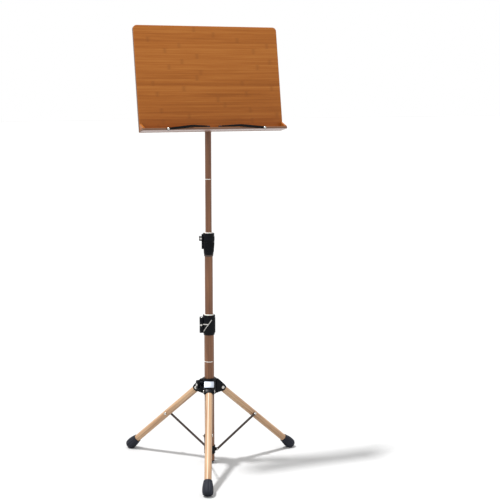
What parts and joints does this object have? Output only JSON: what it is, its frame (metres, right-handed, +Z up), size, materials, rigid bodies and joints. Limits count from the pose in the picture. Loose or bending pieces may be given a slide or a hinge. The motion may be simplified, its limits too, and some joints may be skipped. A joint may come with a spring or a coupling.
{
  "type": "music stand",
  "caption": "Music stand with a flat bamboo desk, ledge and swinging page clips, on a telescopic column carried by a folding braced tripod.",
  "frame": {"origin": "on the floor, on the column's axis", "axes": "+Z up along the column, desk faces -Y, +X to the right seen from its front"},
  "size_m": [0.4989, 0.5054, 1.2519],
  "materials": {
    "column": "wood-toned lacquer, semi-gloss",
    "legs": "wood-toned lacquer, semi-gloss",
    "bamboo": "laminated strips, satin lacquer",
    "rubber": "moulded, ribbed",
    "nylon": "moulded, white",
    "bright_metal": "plated steel",
    "black_metal": "black coated steel",
    "black_plastic": "moulded, low gloss"
  },
  "bodies": {
    "root": {"lower_tube": "column", "lower_collar": "black_plastic", "tube_end_plug": "rubber", "collar_pin_front": "bright_metal", "collar_pin_left": "bright_metal", "collar_pin_right": "bright_metal", "lower_clamp_sleeve": "black_plastic", "lower_bush": "nylon", "lower_clamp_bolt": "bright_metal"},
    "hub": {"hub": "black_plastic", "hub_plate": "bright_metal", "hub_pin_front": "bright_metal", "hub_pin_left": "bright_metal", "hub_pin_right": "bright_metal"},
    "hub_knob": {"hub_knob": "black_plastic"},
    "leg_front": {"leg_front": "legs", "leg_front_tongue": "black_plastic", "foot_front": "rubber", "brace_bolt_front": "bright_metal"},
    "brace_front": {"brace_front": "black_metal", "brace_nut_front": "bright_metal"},
    "leg_left": {"leg_left": "legs", "leg_left_tongue": "black_plastic", "foot_left": "rubber", "brace_bolt_left": "bright_metal"},
    "brace_left": {"brace_left": "black_metal", "brace_nut_left": "bright_metal"},
    "leg_right": {"leg_right": "legs", "leg_right_tongue": "black_plastic", "foot_right": "rubber", "brace_bolt_right": "bright_metal"},
    "brace_right": {"brace_right": "black_metal", "brace_nut_right": "bright_metal"},
    "lower_lever": {"lower_clamp_lever": "black_plastic"},
    "middle": {"middle_tube": "column", "middle_guide": "nylon", "upper_clamp_sleeve": "black_plastic", "upper_bush": "nylon", "upper_clamp_bolt": "bright_metal", "upper_clamp_ring": "bright_metal"},
    "upper_lever": {"upper_clamp_lever": "black_plastic"},
    "upper": {"upper_tube": "column", "upper_guide": "nylon"},
    "socket": {"desk_socket": "black_plastic"},
    "socket_knob": {"socket_knob": "black_plastic"},
    "desk": {"desk_panel": "bamboo", "desk_ledge": "bamboo", "ledge_cheek_left": "bamboo", "ledge_cheek_right": "bamboo", "tilt_bracket": "black_metal", "tilt_bolt": "bright_metal", "clip_screw_left": "bright_metal", "clip_screw_right": "bright_metal"},
    "tilt_knob": {"tilt_knob": "black_plastic"},
    "clip_left": {"page_clip_left": "black_metal", "clip_tip_left": "rubber"},
    "clip_right": {"page_clip_right": "black_metal", "clip_tip_right": "rubber"}
  },
  "joints": [
    {"name": "hub_slide", "type": "slide", "parent": "root", "child": "hub", "axis": [0, 0, 1], "range_m": [0, 0.11771]},
    {"name": "hub_knob_turn", "type": "hinge", "parent": "hub", "child": "hub_knob", "pos_m": [-0.03699, -0.00619, 0.238], "axis": [-0.9863, -0.165, 0], "continuous": true},
    {"name": "leg_front_fold", "type": "hinge", "parent": "hub", "child": "leg_front", "pos_m": [-0.01296, -0.03466, 0.223], "axis": [0.9367, -0.3502, 0], "range_deg": [0, 49.01]},
    {"name": "brace_front_fold", "type": "hinge", "parent": "root", "child": "brace_front", "pos_m": [-0.0063, -0.01686, 0.04], "axis": [-0.9367, 0.3502, 0], "range_deg": [0, 48.98]},
    {"name": "leg_left_fold", "type": "hinge", "parent": "hub", "child": "leg_left", "pos_m": [-0.02354, 0.02855, 0.223], "axis": [-0.7716, -0.6361, 0], "range_deg": [0, 49.01]},
    {"name": "brace_left_fold", "type": "hinge", "parent": "root", "child": "brace_left", "pos_m": [-0.01145, 0.01389, 0.04], "axis": [0.7716, 0.6361, 0], "range_deg": [0, 48.98]},
    {"name": "leg_right_fold", "type": "hinge", "parent": "hub", "child": "leg_right", "pos_m": [0.03649, 0.00611, 0.223], "axis": [-0.165, 0.9863, 0], "range_deg": [0, 49.01]},
    {"name": "brace_right_fold", "type": "hinge", "parent": "root", "child": "brace_right", "pos_m": [0.01775, 0.00297, 0.04], "axis": [0.165, -0.9863, 0], "range_deg": [0, 48.98]},
    {"name": "lower_lever_flip", "type": "hinge", "parent": "root", "child": "lower_lever", "pos_m": [-0.02433, -0.00463, 0.4115], "axis": [0, 0, -1], "range_deg": [0, 120]},
    {"name": "middle_slide", "type": "slide", "parent": "root", "child": "middle", "axis": [0, 0, 1], "range_m": [-0.165, 0.1]},
    {"name": "upper_lever_flip", "type": "hinge", "parent": "middle", "child": "upper_lever", "pos_m": [-0.02433, -0.00463, 0.661], "axis": [0, 0, -1], "range_deg": [0, 120]},
    {"name": "upper_slide", "type": "slide", "parent": "middle", "child": "upper", "axis": [0, 0, 1], "range_m": [-0.255, 0.045]},
    {"name": "desk_swivel", "type": "hinge", "parent": "upper", "child": "socket", "pos_m": [0, 0, 0.974], "axis": [0, 0, 1], "continuous": true},
    {"name": "socket_knob_turn", "type": "hinge", "parent": "socket", "child": "socket_knob", "pos_m": [-0.0255, 0, 0.974], "axis": [-1, 0, 0], "continuous": true},
    {"name": "desk_tilt", "type": "hinge", "parent": "socket", "child": "desk", "pos_m": [0, 0, 1.022], "axis": [-1, 0, 0], "range_deg": [-10, 75]},
    {"name": "tilt_knob_turn", "type": "hinge", "parent": "desk", "child": "tilt_knob", "pos_m": [-0.0209, 0, 1.022], "axis": [-1, 0, 0], "continuous": true},
    {"name": "clip_left_swing", "type": "hinge", "parent": "desk", "child": "clip_left", "pos_m": [-0.14, -0.07726, 0.97338], "axis": [0, -0.9829, 0.184], "range_deg": [0, 95]},
    {"name": "clip_right_swing", "type": "hinge", "parent": "desk", "child": "clip_right", "pos_m": [0.14, -0.07726, 0.97338], "axis": [0, 0.9829, -0.184], "range_deg": [0, 95]}
  ],
  "couplings": [
    {"joint": "leg_front_fold", "follows": "hub_slide", "rad_per_m": 7.2655},
    {"joint": "brace_front_fold", "follows": "hub_slide", "rad_per_m": 7.2618},
    {"joint": "leg_left_fold", "follows": "hub_slide", "rad_per_m": 7.2655},
    {"joint": "brace_left_fold", "follows": "hub_slide", "rad_per_m": 7.2618},
    {"joint": "leg_right_fold", "follows": "hub_slide", "rad_per_m": 7.2655},
    {"joint": "brace_right_fold", "follows": "hub_slide", "rad_per_m": 7.2618}
  ]
}
